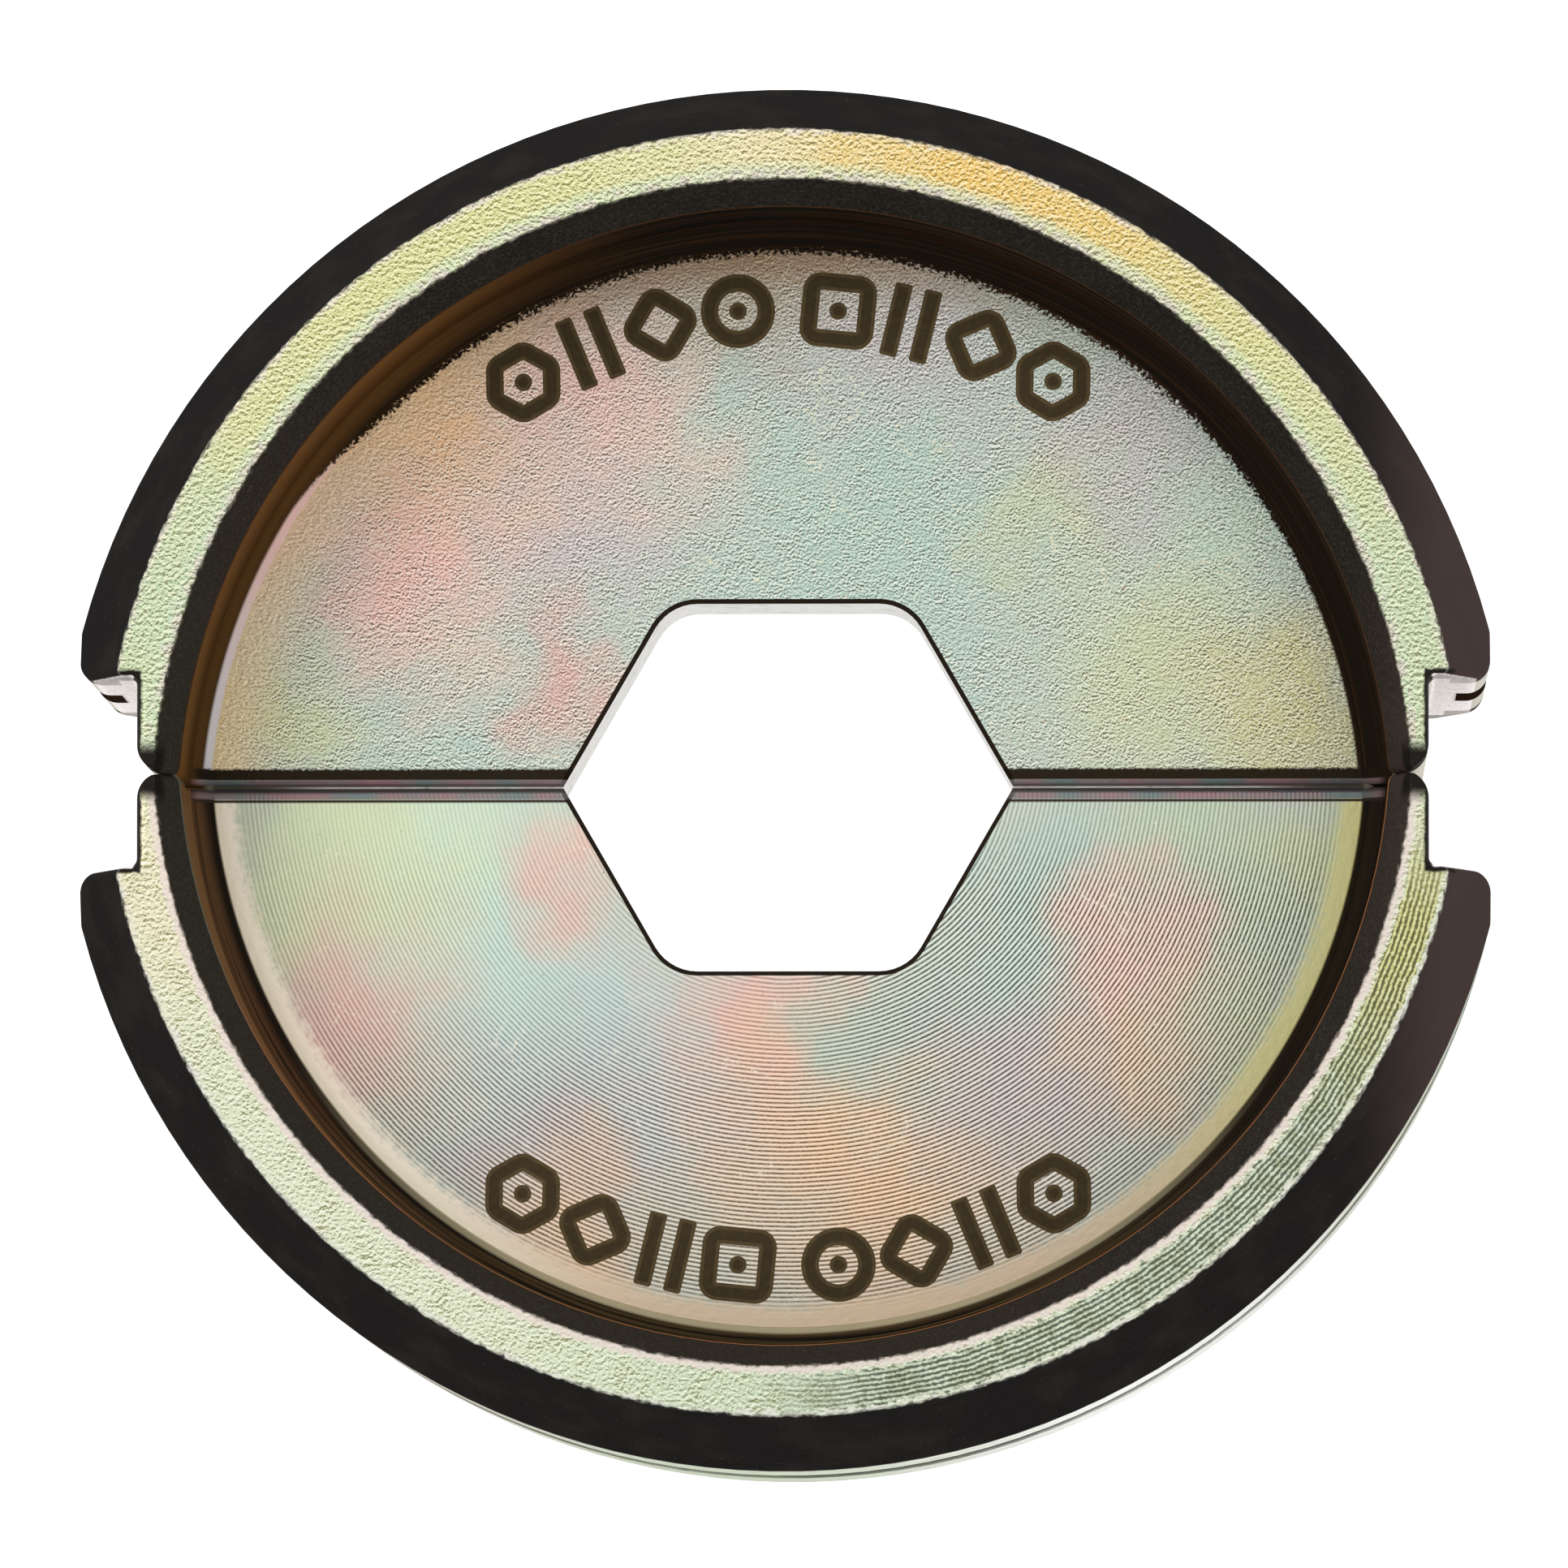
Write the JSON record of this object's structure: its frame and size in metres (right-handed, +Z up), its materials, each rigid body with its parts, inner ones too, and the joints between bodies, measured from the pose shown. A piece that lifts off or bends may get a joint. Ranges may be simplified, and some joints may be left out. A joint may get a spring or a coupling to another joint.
{
  "type": "split hexagonal crimping die",
  "caption": "Split round crimping die: stepped half rings with thin webs that close on a hexagonal crimping cavity.",
  "frame": {"origin": "on the crimping cavity's axis, at the ring faces that the pair lies on", "axes": "+Z up along the cavity's axis, X along the parting line, +Y towards the upper half"},
  "size_m": [0.046, 0.0452, 0.022],
  "materials": {
    "upper_die_steel": "blasted, zinc plated and yellow passivated, with rainbow tints and near-black tapers",
    "lower_die_steel": "turned, zinc plated and yellow passivated, with rainbow tints and near-black tapers"
  },
  "bodies": {
    "root": {"upper_die_half": "upper_die_steel", "lower_die_half": "lower_die_steel"}
  },
  "joints": []
}
